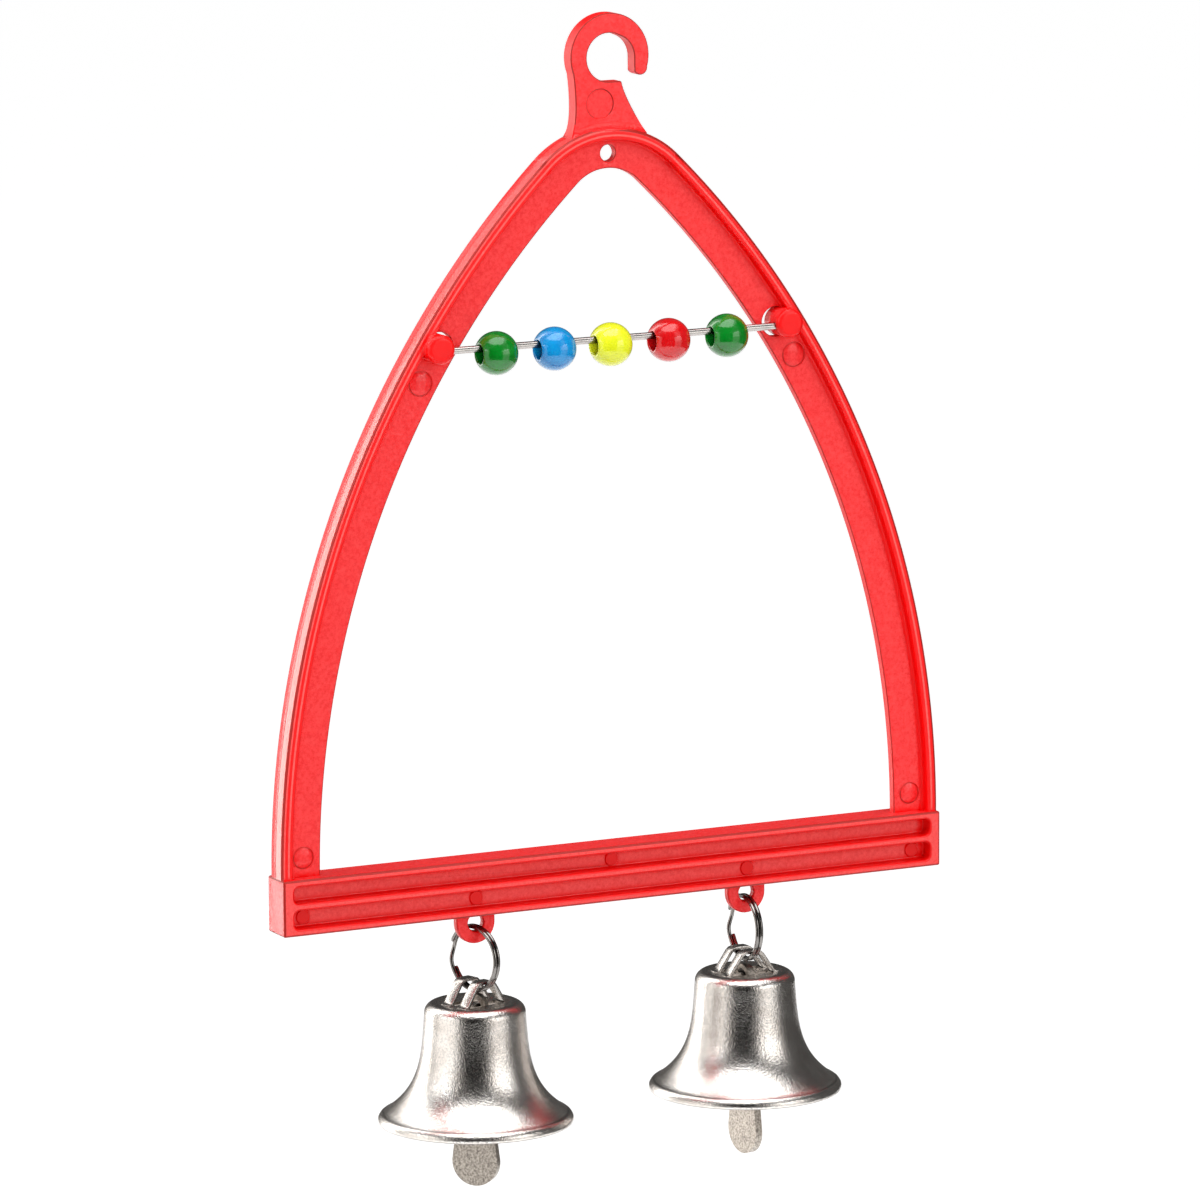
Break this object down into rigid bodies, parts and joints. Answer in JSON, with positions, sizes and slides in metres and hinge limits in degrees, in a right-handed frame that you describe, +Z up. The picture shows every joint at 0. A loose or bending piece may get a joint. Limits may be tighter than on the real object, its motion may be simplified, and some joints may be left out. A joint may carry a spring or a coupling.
{
  "type": "bird swing",
  "caption": "Hanging swing for a cage bird: a moulded arch with an open hook and a channelled perch bar, loose beads on a wire and bells with flat clappers on split rings.",
  "frame": {"origin": "centre of the hook's eye, in the middle of the frame's thickness", "axes": "+X to the right along the perch bar seen from the front, +Y to the back, +Z up, the way the swing hangs; the beads are at the front"},
  "size_m": [0.134, 0.0358, 0.214],
  "materials": {
    "red_plastic": "translucent, glossy",
    "steel_wire": "bright drawn wire",
    "ring_steel": "bright plated",
    "nickel": "satin nickel plate",
    "stamped_steel": "dull stamped sheet",
    "green_bead": "glossy",
    "blue_bead": "glossy",
    "yellow_bead": "glossy",
    "red_bead": "glossy"
  },
  "bodies": {
    "frame": {"hanging_hook": "red_plastic", "arch": "red_plastic", "perch_bar": "red_plastic", "bead_wire": "steel_wire"},
    "bead_1_green": {"bead_1_green": "green_bead"},
    "bead_2_blue": {"bead_2_blue": "blue_bead"},
    "bead_3_yellow": {"bead_3_yellow": "yellow_bead"},
    "bead_4_red": {"bead_4_red": "red_bead"},
    "bead_5_green": {"bead_5_green": "green_bead"},
    "split_ring_left": {"split_ring_left": "ring_steel"},
    "bell_left": {"bell_left": "nickel"},
    "clapper_left": {"clapper_left": "stamped_steel"},
    "split_ring_right": {"split_ring_right": "ring_steel"},
    "bell_right": {"bell_right": "nickel"},
    "clapper_right": {"clapper_right": "stamped_steel"}
  },
  "joints": [
    {"name": "bead_1_green_slide", "type": "slide", "parent": "frame", "child": "bead_1_green", "axis": [1, 0, 0], "range_m": [-0.0031, 0.0035]},
    {"name": "bead_2_blue_slide", "type": "slide", "parent": "frame", "child": "bead_2_blue", "axis": [1, 0, 0], "range_m": [-0.0035, 0.0032]},
    {"name": "bead_3_yellow_slide", "type": "slide", "parent": "frame", "child": "bead_3_yellow", "axis": [1, 0, 0], "range_m": [-0.0032, 0.00365]},
    {"name": "bead_4_red_slide", "type": "slide", "parent": "frame", "child": "bead_4_red", "axis": [1, 0, 0], "range_m": [-0.00365, 0.00375]},
    {"name": "bead_5_green_slide", "type": "slide", "parent": "frame", "child": "bead_5_green", "axis": [1, 0, 0], "range_m": [-0.00375, 0.004]},
    {"name": "split_ring_left_swing", "type": "hinge", "parent": "frame", "child": "split_ring_left", "pos_m": [-0.0277, 0, -0.1564], "axis": [0, 1, 0], "range_deg": [-35, 35]},
    {"name": "bell_left_swing", "type": "hinge", "parent": "split_ring_left", "child": "bell_left", "pos_m": [-0.0277, 0, -0.1631], "axis": [0.9532, 0.3024, 0], "range_deg": [-35, 35]},
    {"name": "clapper_left_swing", "type": "hinge", "parent": "bell_left", "child": "clapper_left", "pos_m": [-0.0277, 0, -0.17196], "axis": [0.742, 0.6704, 0], "range_deg": [-25, 25]},
    {"name": "split_ring_right_swing", "type": "hinge", "parent": "frame", "child": "split_ring_right", "pos_m": [0.0277, 0, -0.1564], "axis": [0, 1, 0], "range_deg": [-35, 35]},
    {"name": "bell_right_swing", "type": "hinge", "parent": "split_ring_right", "child": "bell_right", "pos_m": [0.0277, 0, -0.1631], "axis": [1, 0, 0], "range_deg": [-35, 35]},
    {"name": "clapper_right_swing", "type": "hinge", "parent": "bell_right", "child": "clapper_right", "pos_m": [0.0277, 0, -0.17232], "axis": [0.9912, 0.1323, 0], "range_deg": [-25, 25]}
  ]
}
